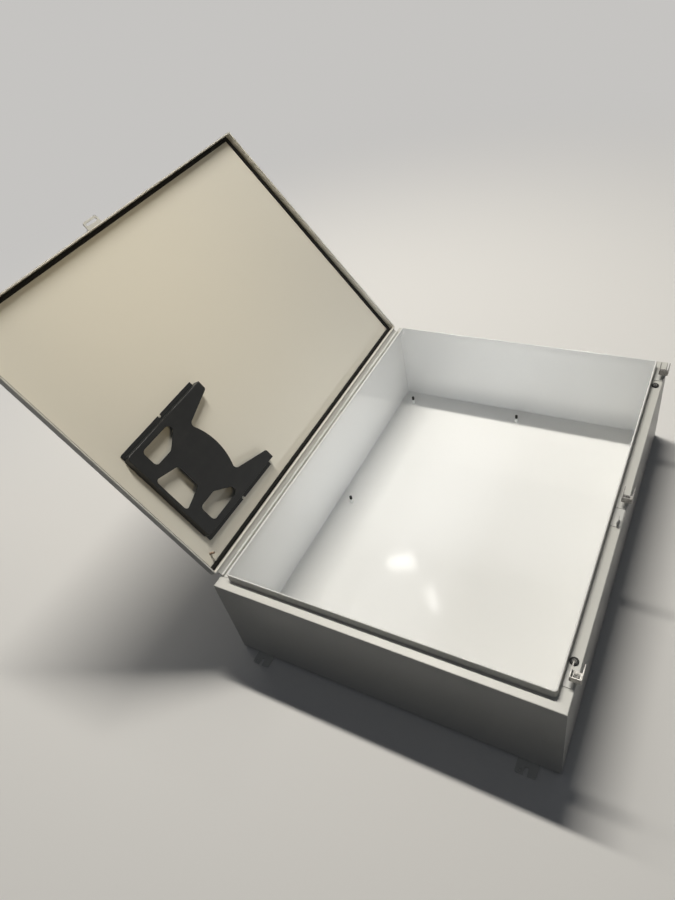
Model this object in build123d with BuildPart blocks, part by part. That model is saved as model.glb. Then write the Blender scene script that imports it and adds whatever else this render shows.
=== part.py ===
from build123d import *
from math import radians, tan
import os

# Control panel enclosure in folded sheet steel, lying on its back with its door open.
# Origin: centre of the mounting plane, which the four feet touch. +Z points out of the
# front opening, +Y to the top end and +X to the latch side. All sizes are in millimetres.

# Body: a folded box with a flange round its opening and a rolled lip on the flange
WIDTH = 914.4
LENGTH = 1219.2
DEPTH = 304.8
SHEET = 1.9
BACK_BEND = 5.5
FLANGE_BEND = 2.2
FLANGE_WIDTH = 28.6
LIP_HEIGHT = 24.0
LIP_CORNER = 16.0
BEAD = 5.0
BEAD_CHAMFER = 1.6

# Mounting feet
FOOT_SHEET = 2.7
FOOT_WIDTH = 52.0
FOOT_REACH = 34.5
FOOT_LAP = 38.0
FOOT_FROM_SIDE = 76.2
FOOT_CORNER = 6.0
FOOT_SLOT = 10.0
FOOT_SLOT_BEYOND_END = 19.05
FOOT_HOLE = 5.6
FOOT_HOLE_SHIFT = 14.0
FOOT_HOLE_BEYOND_END = 26.0

# Collar studs for an inner panel
STUD_FROM_SIDE = 50.8
STUD_FROM_END = 63.5
STUD_COLLAR = 12.7
STUD_COLLAR_HEIGHT = 17.0
STUD_THREAD = 9.5
STUD_HEIGHT = 30.0

# Continuous hinge
PIN = 4.4
PIN_CLEARANCE = 0.05
PIN_OVERHANG = 1.0
LEAF = 1.6
HINGE_LENGTH = 1150.0
KNUCKLES = 15
KNUCKLE_GAP = 0.6
KNUCKLE_LIFT = 0.3
HINGE_INSET = 7.2
BODY_LEAF_WIDTH = 17.0
DOOR_LEAF_HEIGHT = 20.0
NOTCH_CLEARANCE = 0.6

# Door: a folded pan that covers the lip
OPEN_ANGLE = 126.2
SKIRT_GAP = 2.4
RIM_GAP = 4.3
DOOR_DEPTH = 27.9
DOOR_BEND = 3.5
DOOR_CORNER = 3.0
GASKET_WIDTH = 12.5
GASKET_THICKNESS = 6.0
GASKET_CLEARANCE = 0.3
GASKET_CHAMFER = 1.0

# Ground studs
GROUND_STUD = 6.35
GROUND_STUD_LENGTH = 22.0
DOOR_STUD_FROM_RIM = 38.0
DOOR_STUD_FROM_END = 44.0
BODY_STUD_FROM_SIDE = 60.0
BODY_STUD_BELOW_FLANGE = 70.0

# Data pocket: a drafted moulding, open at its back and at its top
POCKET_AXIS_FROM_RIM = 224.0
POCKET_FROM_END = 71.0
POCKET_HEIGHT = 322.0
POCKET_DEPTH = 21.0
POCKET_WALL = 2.0
POCKET_TOP_WIDTH = 308.0
POCKET_BOTTOM_WIDTH = 298.0
POCKET_DRAFT = 8.0
POCKET_CORNER = 10.0
POCKET_EDGE_ROUND = 1.6
POCKET_RIM_WIDTH = 12.0
POCKET_RIM_SHORTFALL = 11.0
POCKET_NOTCH = 5.0
POCKET_NOTCH_FROM_BOTTOM = 165.0
TAPE = 1.0
TAPE_INSET = 2.0
TAPE_MARGIN = 14.0
ARM_TIP_WIDTH = 29.0
ARM_TIP_ROUND = 8.0
VALLEY_DEPTH = 122.0
VALLEY_BOTTOM_WIDTH = 176.0
VALLEY_HUMP_RISE = 24.0
VALLEY_ROUND = 12.0
MIDDLE_WINDOW_BOTTOM = 9.0
MIDDLE_WINDOW_HEIGHT = 75.0
MIDDLE_WINDOW_BOTTOM_WIDTH = 116.0
MIDDLE_WINDOW_TOP_WIDTH = 76.0
MIDDLE_WINDOW_ROUND = 9.0
SIDE_WINDOW_BOTTOM = 42.0
SIDE_WINDOW_HEIGHT = 121.0
SIDE_WINDOW_STRAIGHT = 104.0
SIDE_WINDOW_BULGE = 62.0
SIDE_WINDOW_OUTER = 133.0
SIDE_WINDOW_INNER = 80.0
SIDE_WINDOW_TOP = 119.0
SIDE_WINDOW_ROUND = 12.0

# Screw clamps on the latch side: two near the ends of the flange and one near its middle
CLAMP_FROM_END = 79.1
MIDDLE_CLAMP_SHIFT = 7.0
CLAMP_INSET = 3.0
CLAMP_PLATE_LENGTH = 39.0
CLAMP_PLATE_SHEET = 1.9
CLAMP_BARREL = 12.0
CLAMP_BARREL_HEIGHT = 19.0
CLAMP_HALF_WIDTH = 13.0
CLAMP_SHEET = 2.5
CLAMP_CORNER = 3.0
CLAMP_CHEEK_REACH = 12.5
CLAMP_NOSE_REACH = 28.0
CLAMP_NOSE_THICKNESS = 3.4
CLAMP_NOSE_ROUND = 1.2
CLAMP_DOOR_CLEARANCE = 0.4
PLATE_LIP_GAP = 2.0
SCREW = 6.35
SCREW_CLEARANCE = 0.08
SCREW_HEAD = 11.1
SCREW_HEAD_HEIGHT = 4.6
SCREW_SLOT = 1.6
SCREW_SLOT_DEPTH = 1.5
SCREW_LENGTH = 19.0
WASHER = 13.0
WASHER_THICKNESS = 1.2

# Rubber bumpers on the flange
BUMPER = 20.0
BUMPER_HEIGHT = 4.0
BUMPER_CHAMFER = 1.0
BUMPER_DIMPLE = 6.0
BUMPER_DIMPLE_DEPTH = 2.0
BUMPER_LIP_GAP = 1.6
BUMPER_FROM_END = 123.6

# Padlock hasp on the door and staple on the flange
HASP_CENTRE = -77.5
HASP_SHEET = 3.0
HASP_WIDTH = 53.0
HASP_REACH = 24.0
HASP_WELD_HEIGHT = 16.0
HASP_CORNER = 7.0
HASP_SLOT_LENGTH = 41.0
HASP_SLOT = 8.0
HASP_SLOT_FROM_SKIRT = 13.5
STAPLE_SHEET = 3.0
STAPLE_WIDTH = 25.0
STAPLE_HEIGHT = 22.0
STAPLE_CORNER = 7.0
STAPLE_PLATE_SHEET = 2.0
STAPLE_PLATE_LENGTH = 62.0
PADLOCK_HOLE = 9.5
PADLOCK_HOLE_HEIGHT = 14.5

# Levels above the mounting plane
BACK_Z = FOOT_SHEET
FLOOR_Z = BACK_Z + SHEET
FLANGE_Z = BACK_Z + DEPTH
LIP_TOP_Z = FLANGE_Z + LIP_HEIGHT

# Outlines that fit into each other: the lip and the door's skirts round it
LIP_WIDTH = WIDTH - 2 * FLANGE_WIDTH
LIP_LENGTH = LENGTH - 2 * FLANGE_WIDTH
DOOR_WIDTH = LIP_WIDTH + 2 * (SKIRT_GAP + SHEET)
DOOR_LENGTH = LIP_LENGTH + 2 * (SKIRT_GAP + SHEET)

# Hinge: the pin lies over the flange, outside the door's skirt
KNUCKLE_BORE = PIN / 2 + PIN_CLEARANCE
KNUCKLE_RADIUS = KNUCKLE_BORE + LEAF
PIN_X = HINGE_INSET - WIDTH / 2
PIN_HEIGHT = KNUCKLE_LIFT + KNUCKLE_RADIUS
PIN_Z = FLANGE_Z + PIN_HEIGHT
KNUCKLE_PITCH = HINGE_LENGTH / KNUCKLES

# The open door's own frame turns about the pin: x across the door, y along it, z outwards
OPEN = Plane(origin=(PIN_X, 0, PIN_Z)).rotated((0, -OPEN_ANGLE, 0))
OUTWARD = Axis(OPEN.origin, OPEN.z_dir)
SKIRT_X = -DOOR_WIDTH / 2 - PIN_X
LATCH_X = SKIRT_X + DOOR_WIDTH
RIM = RIM_GAP - PIN_HEIGHT
DOOR_TOP = RIM + DOOR_DEPTH
DOOR_FACE = DOOR_TOP - SHEET

# Plates on the latch side flange lie between the lip and the flange's bend
PLATE_START = LIP_WIDTH / 2 + PLATE_LIP_GAP
PLATE_END = WIDTH / 2 - FLANGE_BEND
CLAMP_X = WIDTH / 2 - CLAMP_INSET
CLAMP_END_Y = LENGTH / 2 - CLAMP_FROM_END
CLAMP_PLACES = {"near": -CLAMP_END_Y, "middle": -MIDDLE_CLAMP_SHIFT, "far": CLAMP_END_Y}


def door_plane(x, y, height, inward=False):
    """Plane in the open door's frame, facing out of the door or into it."""
    side = -1 if inward else 1
    origin = OPEN.from_local_coords((x, y, height))
    return Plane(origin=origin, x_dir=OPEN.x_dir * side, z_dir=OPEN.z_dir * side)


def rounded_ring(width, length, corner, band):
    """Sketch a band of even width inside a rounded rectangle."""
    RectangleRounded(width, length, corner)
    RectangleRounded(width - 2 * band, length - 2 * band, corner - band, mode=Mode.SUBTRACT)


def save(part, name):
    """Label one finished piece and write its file."""
    part.label = name
    export_step(part, f"parts/{name}.step")


os.makedirs("parts", exist_ok=True)

# The space inside the body, and the lip's rolled edge
with BuildPart() as body_space:
    with BuildSketch(Plane.XY.offset(FLOOR_Z)):
        Rectangle(WIDTH - 2 * SHEET, LENGTH - 2 * SHEET)
    extrude(amount=DEPTH - 2 * SHEET)
    fillet(body_space.faces().sort_by(Axis.Z)[0].edges(), BACK_BEND - SHEET)

with BuildPart() as rolled_edge:
    with BuildSketch(Plane.XY.offset(LIP_TOP_Z - BEAD)):
        rounded_ring(LIP_WIDTH, LIP_LENGTH, LIP_CORNER, BEAD)
    extrude(amount=BEAD)
    chamfer(rolled_edge.faces().sort_by(Axis.Z)[-1].edges(), BEAD_CHAMFER)

# Body shell: box, flange and lip are one folded and welded piece
with BuildPart() as body_shell:
    with BuildSketch(Plane.XY.offset(BACK_Z)):
        Rectangle(WIDTH, LENGTH)
    extrude(amount=DEPTH)
    fillet(body_shell.faces().sort_by(Axis.Z)[0].edges(), BACK_BEND)
    fillet(body_shell.faces().sort_by(Axis.Z)[-1].edges(), FLANGE_BEND)
    add(body_space.part, mode=Mode.SUBTRACT)
    with BuildSketch(Plane.XY.offset(FLANGE_Z - SHEET)):
        RectangleRounded(LIP_WIDTH, LIP_LENGTH, LIP_CORNER)
    extrude(amount=SHEET, mode=Mode.SUBTRACT)
    with BuildSketch(Plane.XY.offset(FLANGE_Z - SHEET)):
        rounded_ring(LIP_WIDTH, LIP_LENGTH, LIP_CORNER, SHEET)
    extrude(amount=LIP_HEIGHT + SHEET - BEAD / 2)
    add(rolled_edge.part)
save(body_shell.part, "body_shell")

# Four mounting feet behind the back. Local y runs outwards past the box's end.
FEET = {
    "foot_near_hinge_side": (-1, -1),
    "foot_near_latch_side": (1, -1),
    "foot_far_hinge_side": (-1, 1),
    "foot_far_latch_side": (1, 1),
}
for name, (across, along) in FEET.items():
    foot_root = Plane(
        origin=(across * (WIDTH / 2 - FOOT_FROM_SIDE), along * LENGTH / 2, 0),
        x_dir=(1, 0, 0),
        z_dir=(0, 0, along),
    )
    with BuildPart() as foot:
        with BuildSketch(foot_root):
            with Locations((0, (FOOT_REACH - FOOT_LAP) / 2)):
                Rectangle(FOOT_WIDTH, FOOT_REACH + FOOT_LAP)
            fillet(vertices().group_by(Axis.Y)[-1], FOOT_CORNER)
            with Locations((0, FOOT_REACH)):
                SlotOverall(2 * (FOOT_REACH - FOOT_SLOT_BEYOND_END) + FOOT_SLOT, FOOT_SLOT, 90, mode=Mode.SUBTRACT)
            with Locations((-FOOT_HOLE_SHIFT, FOOT_HOLE_BEYOND_END)):
                Circle(FOOT_HOLE / 2, mode=Mode.SUBTRACT)
        extrude(amount=along * FOOT_SHEET)
    save(foot.part, name)

# Eight collar studs: the corners, mid sides and mid ends of the inner panel's outline
STUD_X = WIDTH / 2 - STUD_FROM_SIDE
STUD_Y = LENGTH / 2 - STUD_FROM_END
STUD_PLACES = [(x, y) for x in (-STUD_X, 0, STUD_X) for y in (-STUD_Y, 0, STUD_Y) if (x, y) != (0, 0)]
with BuildPart() as panel_studs:
    with BuildSketch(Plane.XY.offset(FLOOR_Z)):
        with Locations(STUD_PLACES):
            Circle(STUD_COLLAR / 2)
    extrude(amount=STUD_COLLAR_HEIGHT)
    with BuildSketch(Plane.XY.offset(FLOOR_Z + STUD_COLLAR_HEIGHT)):
        with Locations(STUD_PLACES):
            Circle(STUD_THREAD / 2)
    extrude(amount=STUD_HEIGHT - STUD_COLLAR_HEIGHT)
save(panel_studs.part, "panel_studs")

# Ground stud inside the body, on the near end wall
end_wall = Plane(
    origin=(BODY_STUD_FROM_SIDE - WIDTH / 2, SHEET - LENGTH / 2, FLANGE_Z - BODY_STUD_BELOW_FLANGE),
    z_dir=(0, 1, 0),
)
with BuildPart() as body_ground_stud:
    with BuildSketch(end_wall):
        Circle(GROUND_STUD / 2)
    extrude(amount=GROUND_STUD_LENGTH)
save(body_ground_stud.part, "body_ground_stud")

# Hinge leaves: each is a flat with a rolled barrel, cut into knuckles where the other's lie
BODY_KNUCKLES = range(0, KNUCKLES, 2)
DOOR_KNUCKLES = range(1, KNUCKLES, 2)


def knuckle_middle(index):
    """Distance of a knuckle's middle from the hinge's middle, along Y."""
    return (index + 0.5) * KNUCKLE_PITCH - HINGE_LENGTH / 2


def knuckle_notches(indexes):
    """Sketch the notches for the other leaf's knuckles, with a gap at each end."""
    with Locations([(0, knuckle_middle(index)) for index in indexes]):
        Rectangle(2 * (KNUCKLE_RADIUS + NOTCH_CLEARANCE), KNUCKLE_PITCH + KNUCKLE_GAP)


with BuildPart() as hinge_body_leaf:
    with BuildSketch(Plane(origin=(PIN_X, HINGE_LENGTH / 2, PIN_Z), x_dir=(1, 0, 0), z_dir=(0, -1, 0))):
        Circle(KNUCKLE_RADIUS)
        with Locations((BODY_LEAF_WIDTH / 2, LEAF / 2 - PIN_HEIGHT)):
            Rectangle(BODY_LEAF_WIDTH, LEAF)
        Circle(KNUCKLE_BORE, mode=Mode.SUBTRACT)
    extrude(amount=HINGE_LENGTH)
    with BuildSketch(Plane(origin=(PIN_X, 0, PIN_Z))):
        knuckle_notches(DOOR_KNUCKLES)
    extrude(amount=2 * PIN_HEIGHT, both=True, mode=Mode.SUBTRACT)
save(hinge_body_leaf.part, "hinge_body_leaf")

with BuildPart() as hinge_door_leaf:
    with BuildSketch(Plane(origin=(PIN_X, HINGE_LENGTH / 2, PIN_Z), x_dir=OPEN.x_dir, z_dir=(0, -1, 0))):
        Circle(KNUCKLE_RADIUS)
        with Locations((SKIRT_X / 2, KNUCKLE_RADIUS - LEAF / 2)):
            Rectangle(SKIRT_X, LEAF)
        with Locations((SKIRT_X - LEAF / 2, KNUCKLE_RADIUS - LEAF + DOOR_LEAF_HEIGHT / 2)):
            Rectangle(LEAF, DOOR_LEAF_HEIGHT)
        Circle(KNUCKLE_BORE, mode=Mode.SUBTRACT)
    extrude(amount=HINGE_LENGTH)
    with BuildSketch(OPEN):
        knuckle_notches(BODY_KNUCKLES)
    extrude(amount=2 * PIN_HEIGHT, both=True, mode=Mode.SUBTRACT)
save(hinge_door_leaf.part, "hinge_door_leaf")

with BuildPart() as hinge_pin:
    with BuildSketch(Plane(origin=(PIN_X, -HINGE_LENGTH / 2 - PIN_OVERHANG, PIN_Z), z_dir=(0, 1, 0))):
        Circle(PIN / 2)
    extrude(amount=HINGE_LENGTH + 2 * PIN_OVERHANG)
save(hinge_pin.part, "hinge_pin")

# Door panel: a pan with its rim towards the flange when it is shut
with BuildPart() as door_panel:
    door_middle = (SKIRT_X + LATCH_X) / 2
    with BuildSketch(door_plane(door_middle, 0, RIM)):
        RectangleRounded(DOOR_WIDTH, DOOR_LENGTH, DOOR_CORNER)
    extrude(amount=DOOR_DEPTH)
    fillet(door_panel.faces().sort_by(OUTWARD)[-1].edges(), DOOR_BEND)
    with BuildSketch(door_plane(door_middle, 0, RIM)):
        RectangleRounded(DOOR_WIDTH - 2 * SHEET, DOOR_LENGTH - 2 * SHEET, DOOR_CORNER - SHEET)
    extrude(amount=DOOR_DEPTH - SHEET, mode=Mode.SUBTRACT)
save(door_panel.part, "door_panel")

# Gasket: one strip round the door's inner face, beside the skirts
with BuildPart() as door_gasket:
    gasket_width = DOOR_WIDTH - 2 * (SHEET + GASKET_CLEARANCE)
    gasket_length = DOOR_LENGTH - 2 * (SHEET + GASKET_CLEARANCE)
    with BuildSketch(door_plane(door_middle, 0, DOOR_FACE, inward=True)):
        RectangleRounded(gasket_width, gasket_length, DOOR_CORNER - SHEET)
        Rectangle(gasket_width - 2 * GASKET_WIDTH, gasket_length - 2 * GASKET_WIDTH, mode=Mode.SUBTRACT)
    extrude(amount=GASKET_THICKNESS)
    chamfer(door_gasket.faces().sort_by(OUTWARD)[0].edges(), GASKET_CHAMFER)
save(door_gasket.part, "door_gasket")

# Ground stud on the door, near its hinge side
with BuildPart() as door_ground_stud:
    stud_x = SKIRT_X + DOOR_STUD_FROM_RIM
    stud_y = DOOR_STUD_FROM_END - DOOR_LENGTH / 2
    with BuildSketch(door_plane(stud_x, stud_y, DOOR_FACE, inward=True)):
        Circle(GROUND_STUD / 2)
    extrude(amount=GROUND_STUD_LENGTH)
save(door_ground_stud.part, "door_ground_stud")

# Data pocket. Its frame stands on the door's inner face at the middle of its bottom, with
# y towards its open top. Walls lean outwards towards the door by the mould's draft.
POCKET_SPREAD = POCKET_DEPTH * tan(radians(POCKET_DRAFT))
POCKET_RIM_TOP = POCKET_HEIGHT - POCKET_RIM_SHORTFALL


def pocket_plane(height):
    """Plane at a height above the door's inner face, at the middle of the pocket's bottom."""
    y = POCKET_FROM_END - DOOR_LENGTH / 2
    return door_plane(SKIRT_X + POCKET_AXIS_FROM_RIM, y, DOOR_FACE - height, inward=True)


def pocket_outline(grow, top):
    """Outline of the pocket, grown at its sides and bottom, up to a top line."""
    low = POCKET_BOTTOM_WIDTH / 2 + grow
    lean = (POCKET_TOP_WIDTH - POCKET_BOTTOM_WIDTH) / 2 / POCKET_HEIGHT
    high = low + lean * (top + grow)
    with BuildSketch() as outline:
        with BuildLine():
            Polyline((-high, top), (-low, -grow), (low, -grow), (high, top), close=True)
        make_face()
        fillet(outline.vertices().group_by(Axis.Y)[0], POCKET_CORNER + grow)
    return outline.sketch


def pocket_band(inner, outer, bottom, top):
    """Sketch the two side strips between two grown outlines, from a bottom to a top line."""
    add(pocket_outline(outer, top))
    add(pocket_outline(inner, top + POCKET_WALL), mode=Mode.SUBTRACT)
    with Locations((0, bottom)):
        Rectangle(2 * POCKET_TOP_WIDTH, POCKET_HEIGHT, align=(Align.CENTER, Align.MAX), mode=Mode.SUBTRACT)


def valley():
    """Outline of the deep valley between the arms, with its low hump in the middle."""
    tip = POCKET_TOP_WIDTH / 2 - ARM_TIP_WIDTH
    foot = VALLEY_BOTTOM_WIDTH / 2
    low = POCKET_HEIGHT - VALLEY_DEPTH
    side = POCKET_TOP_WIDTH
    clear = POCKET_HEIGHT + POCKET_DEPTH
    with BuildSketch() as outline:
        with BuildLine():
            Polyline((-foot, low), (-tip, POCKET_HEIGHT), (-side, POCKET_HEIGHT), (-side, clear))
            Polyline((-side, clear), (side, clear), (side, POCKET_HEIGHT), (tip, POCKET_HEIGHT), (foot, low))
            ThreePointArc((foot, low), (0, low + VALLEY_HUMP_RISE), (-foot, low))
        make_face()
        corners = outline.vertices().group_by(Axis.Y)
        fillet(corners[1].sort_by(Axis.X)[1:-1], ARM_TIP_ROUND)
        fillet(outline.vertices().group_by(Axis.Y)[0], VALLEY_ROUND)
    return outline.sketch


def middle_window():
    """Outline of the tapered window at the pocket's bottom."""
    low = MIDDLE_WINDOW_BOTTOM
    high = MIDDLE_WINDOW_BOTTOM + MIDDLE_WINDOW_HEIGHT
    half_low = MIDDLE_WINDOW_BOTTOM_WIDTH / 2
    half_high = MIDDLE_WINDOW_TOP_WIDTH / 2
    with BuildSketch() as outline:
        with BuildLine():
            Polyline((-half_low, low), (half_low, low), (half_high, high), (-half_high, high), close=True)
        make_face()
        fillet(outline.vertices(), MIDDLE_WINDOW_ROUND)
    return outline.sketch


def side_window(side):
    """Outline of one side window: straight beside the wall, bulging towards the middle."""
    low = SIDE_WINDOW_BOTTOM
    outer = side * SIDE_WINDOW_OUTER
    inner = side * SIDE_WINDOW_INNER
    with BuildSketch() as outline:
        with BuildLine():
            Polyline(
                (outer, low),
                (outer, low + SIDE_WINDOW_STRAIGHT),
                (side * SIDE_WINDOW_TOP, low + SIDE_WINDOW_HEIGHT),
                (inner, low + SIDE_WINDOW_BULGE),
                (inner, low),
                close=True,
            )
        make_face()
        fillet(outline.vertices(), SIDE_WINDOW_ROUND)
    return outline.sketch


with BuildPart() as pocket_space:
    with BuildSketch(pocket_plane(TAPE)):
        add(pocket_outline(POCKET_SPREAD - POCKET_WALL, POCKET_HEIGHT + POCKET_WALL))
    with BuildSketch(pocket_plane(TAPE + POCKET_DEPTH - POCKET_WALL)):
        add(pocket_outline(-POCKET_WALL, POCKET_HEIGHT + POCKET_WALL))
    loft(ruled=True)

with BuildPart() as data_pocket:
    with BuildSketch(pocket_plane(TAPE)):
        add(pocket_outline(POCKET_SPREAD, POCKET_HEIGHT))
    with BuildSketch(pocket_plane(TAPE + POCKET_DEPTH)):
        add(pocket_outline(0, POCKET_HEIGHT))
    loft(ruled=True)
    front = data_pocket.faces().sort_by(OUTWARD)[0]
    fillet(front.edges().sort_by(Axis.Y)[:-1], POCKET_EDGE_ROUND)
    add(pocket_space.part, mode=Mode.SUBTRACT)
    with BuildSketch(pocket_plane(TAPE)):
        pocket_band(POCKET_SPREAD - POCKET_WALL, POCKET_SPREAD + POCKET_RIM_WIDTH, 0, POCKET_RIM_TOP)
        notch_x = POCKET_BOTTOM_WIDTH / 2 + POCKET_SPREAD + POCKET_RIM_WIDTH
        with Locations((-notch_x, POCKET_NOTCH_FROM_BOTTOM), (notch_x, POCKET_NOTCH_FROM_BOTTOM)):
            Circle(POCKET_NOTCH, mode=Mode.SUBTRACT)
    extrude(amount=POCKET_WALL)
    with BuildSketch(pocket_plane(TAPE + POCKET_DEPTH)):
        add(valley())
        add(middle_window())
        add(side_window(-1))
        add(side_window(1))
    extrude(amount=-POCKET_DEPTH / 2, mode=Mode.SUBTRACT)
save(data_pocket.part, "data_pocket")

# Adhesive strips between the pocket's side rims and the door
with BuildPart() as pocket_tape:
    with BuildSketch(pocket_plane(0)):
        pocket_band(
            POCKET_SPREAD + TAPE_INSET,
            POCKET_SPREAD + POCKET_RIM_WIDTH - TAPE_INSET,
            TAPE_MARGIN,
            POCKET_RIM_TOP - TAPE_MARGIN,
        )
    extrude(amount=TAPE)
save(pocket_tape.part, "pocket_tape")

# Padlock hasp: a slotted tab at the rim, with a leg that is welded to the latch side skirt
with BuildPart() as padlock_hasp:
    with BuildSketch(door_plane(LATCH_X, HASP_CENTRE, RIM)):
        Rectangle(HASP_REACH, HASP_WIDTH, align=(Align.MIN, Align.CENTER))
        fillet(vertices().group_by(Axis.X)[-1], HASP_CORNER)
        with Locations((HASP_SLOT_FROM_SKIRT, 0)):
            SlotOverall(HASP_SLOT_LENGTH, HASP_SLOT, 90, mode=Mode.SUBTRACT)
    extrude(amount=HASP_SHEET)
    with BuildSketch(door_plane(LATCH_X, HASP_CENTRE, RIM)):
        Rectangle(HASP_SHEET, HASP_WIDTH, align=(Align.MIN, Align.CENTER))
    extrude(amount=HASP_WELD_HEIGHT)
save(padlock_hasp.part, "padlock_hasp")

# Padlock staple: it stands through the hasp's slot when the door is shut
STAPLE_X = PIN_X + LATCH_X + HASP_SLOT_FROM_SKIRT
with BuildPart() as padlock_staple:
    with BuildSketch(Plane.XY.offset(FLANGE_Z)):
        with Locations((PLATE_START, HASP_CENTRE - STAPLE_WIDTH / 2)):
            Rectangle(PLATE_END - PLATE_START, STAPLE_PLATE_LENGTH, align=(Align.MIN, Align.MIN))
    extrude(amount=STAPLE_PLATE_SHEET)
    eye_plane = Plane(origin=(STAPLE_X - STAPLE_SHEET / 2, HASP_CENTRE, FLANGE_Z), x_dir=(0, 1, 0), z_dir=(1, 0, 0))
    with BuildSketch(eye_plane):
        Rectangle(STAPLE_WIDTH, STAPLE_HEIGHT, align=(Align.CENTER, Align.MIN))
        fillet(vertices().group_by(Axis.Y)[-1], STAPLE_CORNER)
        with Locations((0, PADLOCK_HOLE_HEIGHT)):
            Circle(PADLOCK_HOLE / 2, mode=Mode.SUBTRACT)
    extrude(amount=STAPLE_SHEET)
save(padlock_staple.part, "padlock_staple")

# Two rubber bumpers under the door's latch side rim
with BuildPart() as door_bumpers:
    bumper_x = LIP_WIDTH / 2 + BUMPER_LIP_GAP + BUMPER / 2
    bumper_y = LENGTH / 2 - BUMPER_FROM_END
    bumper_places = [(bumper_x, -bumper_y), (bumper_x, bumper_y)]
    with BuildSketch(Plane.XY.offset(FLANGE_Z)):
        with Locations(bumper_places):
            Circle(BUMPER / 2)
    extrude(amount=BUMPER_HEIGHT)
    chamfer(door_bumpers.edges().group_by(Axis.Z)[-1], BUMPER_CHAMFER)
    with BuildSketch(Plane.XY.offset(FLANGE_Z + BUMPER_HEIGHT)):
        with Locations(bumper_places):
            Circle(BUMPER_DIMPLE / 2)
    extrude(amount=-BUMPER_DIMPLE_DEPTH, mode=Mode.SUBTRACT)
save(door_bumpers.part, "door_bumpers")

# Screw clamps: plate with barrel, hooked arm, washer and slotted hexagon screw. The arm
# points along the flange and swings a quarter turn to hook over the shut door.
NOSE_Z = RIM_GAP + DOOR_DEPTH + CLAMP_DOOR_CLEARANCE
ARM_TOP = NOSE_Z + CLAMP_NOSE_THICKNESS
ARM_FLOOR_TOP = CLAMP_BARREL_HEIGHT + CLAMP_SHEET
HEAD_Z = ARM_FLOOR_TOP + WASHER_THICKNESS
for place, clamp_y in CLAMP_PLACES.items():
    seat = Plane(origin=(CLAMP_X, clamp_y, FLANGE_Z))

    with BuildPart() as clamp_base:
        with BuildSketch(Plane(origin=(PLATE_START, clamp_y, FLANGE_Z))):
            Rectangle(PLATE_END - PLATE_START, CLAMP_PLATE_LENGTH, align=(Align.MIN, Align.CENTER))
        extrude(amount=CLAMP_PLATE_SHEET)
        with BuildSketch(seat):
            Circle(CLAMP_BARREL / 2)
        extrude(amount=CLAMP_BARREL_HEIGHT)
        with BuildSketch(seat.offset(CLAMP_BARREL_HEIGHT)):
            Circle(SCREW / 2 + SCREW_CLEARANCE)
        extrude(amount=-SCREW_LENGTH, mode=Mode.SUBTRACT)
    save(clamp_base.part, f"clamp_base_{place}")

    with BuildPart() as clamp_arm:
        side_view = Plane(origin=(CLAMP_X - CLAMP_HALF_WIDTH, clamp_y, FLANGE_Z), x_dir=(0, 1, 0), z_dir=(1, 0, 0))
        with BuildSketch(side_view):
            with BuildLine():
                Polyline(
                    (-CLAMP_HALF_WIDTH, CLAMP_BARREL_HEIGHT),
                    (CLAMP_CHEEK_REACH, CLAMP_BARREL_HEIGHT),
                    (CLAMP_CHEEK_REACH, NOSE_Z),
                    (CLAMP_NOSE_REACH, NOSE_Z),
                    (CLAMP_NOSE_REACH, ARM_TOP),
                    (-CLAMP_HALF_WIDTH, ARM_TOP),
                    close=True,
                )
            make_face()
            fillet(vertices().group_by(Axis.X)[-1], CLAMP_NOSE_ROUND)
        extrude(amount=2 * CLAMP_HALF_WIDTH)
        web_corners = clamp_arm.edges().filter_by(Axis.Z).group_by(Axis.Y)[0]
        fillet(web_corners, CLAMP_CORNER)
        with BuildSketch(seat.offset(ARM_FLOOR_TOP)):
            with Locations((0, CLAMP_SHEET - CLAMP_HALF_WIDTH)):
                Rectangle(
                    2 * (CLAMP_HALF_WIDTH - CLAMP_SHEET),
                    CLAMP_HALF_WIDTH + CLAMP_NOSE_REACH,
                    align=(Align.CENTER, Align.MIN),
                )
        extrude(amount=ARM_TOP - ARM_FLOOR_TOP, mode=Mode.SUBTRACT)
        with BuildSketch(seat.offset(CLAMP_BARREL_HEIGHT)):
            Circle(SCREW / 2 + SCREW_CLEARANCE)
        extrude(amount=CLAMP_SHEET, mode=Mode.SUBTRACT)
    save(clamp_arm.part, f"clamp_arm_{place}")

    with BuildPart() as clamp_washer:
        with BuildSketch(seat.offset(ARM_FLOOR_TOP)):
            Circle(WASHER / 2)
            Circle(SCREW / 2 + SCREW_CLEARANCE, mode=Mode.SUBTRACT)
        extrude(amount=WASHER_THICKNESS)
    save(clamp_washer.part, f"clamp_washer_{place}")

    with BuildPart() as clamp_screw:
        with BuildSketch(seat.offset(HEAD_Z)):
            RegularPolygon(SCREW_HEAD / 2, 6, major_radius=False)
        extrude(amount=SCREW_HEAD_HEIGHT)
        with BuildSketch(seat.offset(HEAD_Z + SCREW_HEAD_HEIGHT)):
            Rectangle(2 * SCREW_HEAD, SCREW_SLOT)
        extrude(amount=-SCREW_SLOT_DEPTH, mode=Mode.SUBTRACT)
        with BuildSketch(seat.offset(HEAD_Z)):
            Circle(SCREW / 2)
        extrude(amount=-SCREW_LENGTH)
    save(clamp_screw.part, f"clamp_screw_{place}")
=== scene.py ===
import logging
import math
from collections.abc import Iterable, Sequence
from dataclasses import dataclass
from enum import Enum
from typing import ClassVar

import bmesh
import bpy
from bmesh.types import BMEdge, BMesh, BMFace, BMVert
from bpy.types import ID, Material, Node, NodeSocket, Object, World
from mathutils import Matrix, Vector


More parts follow.
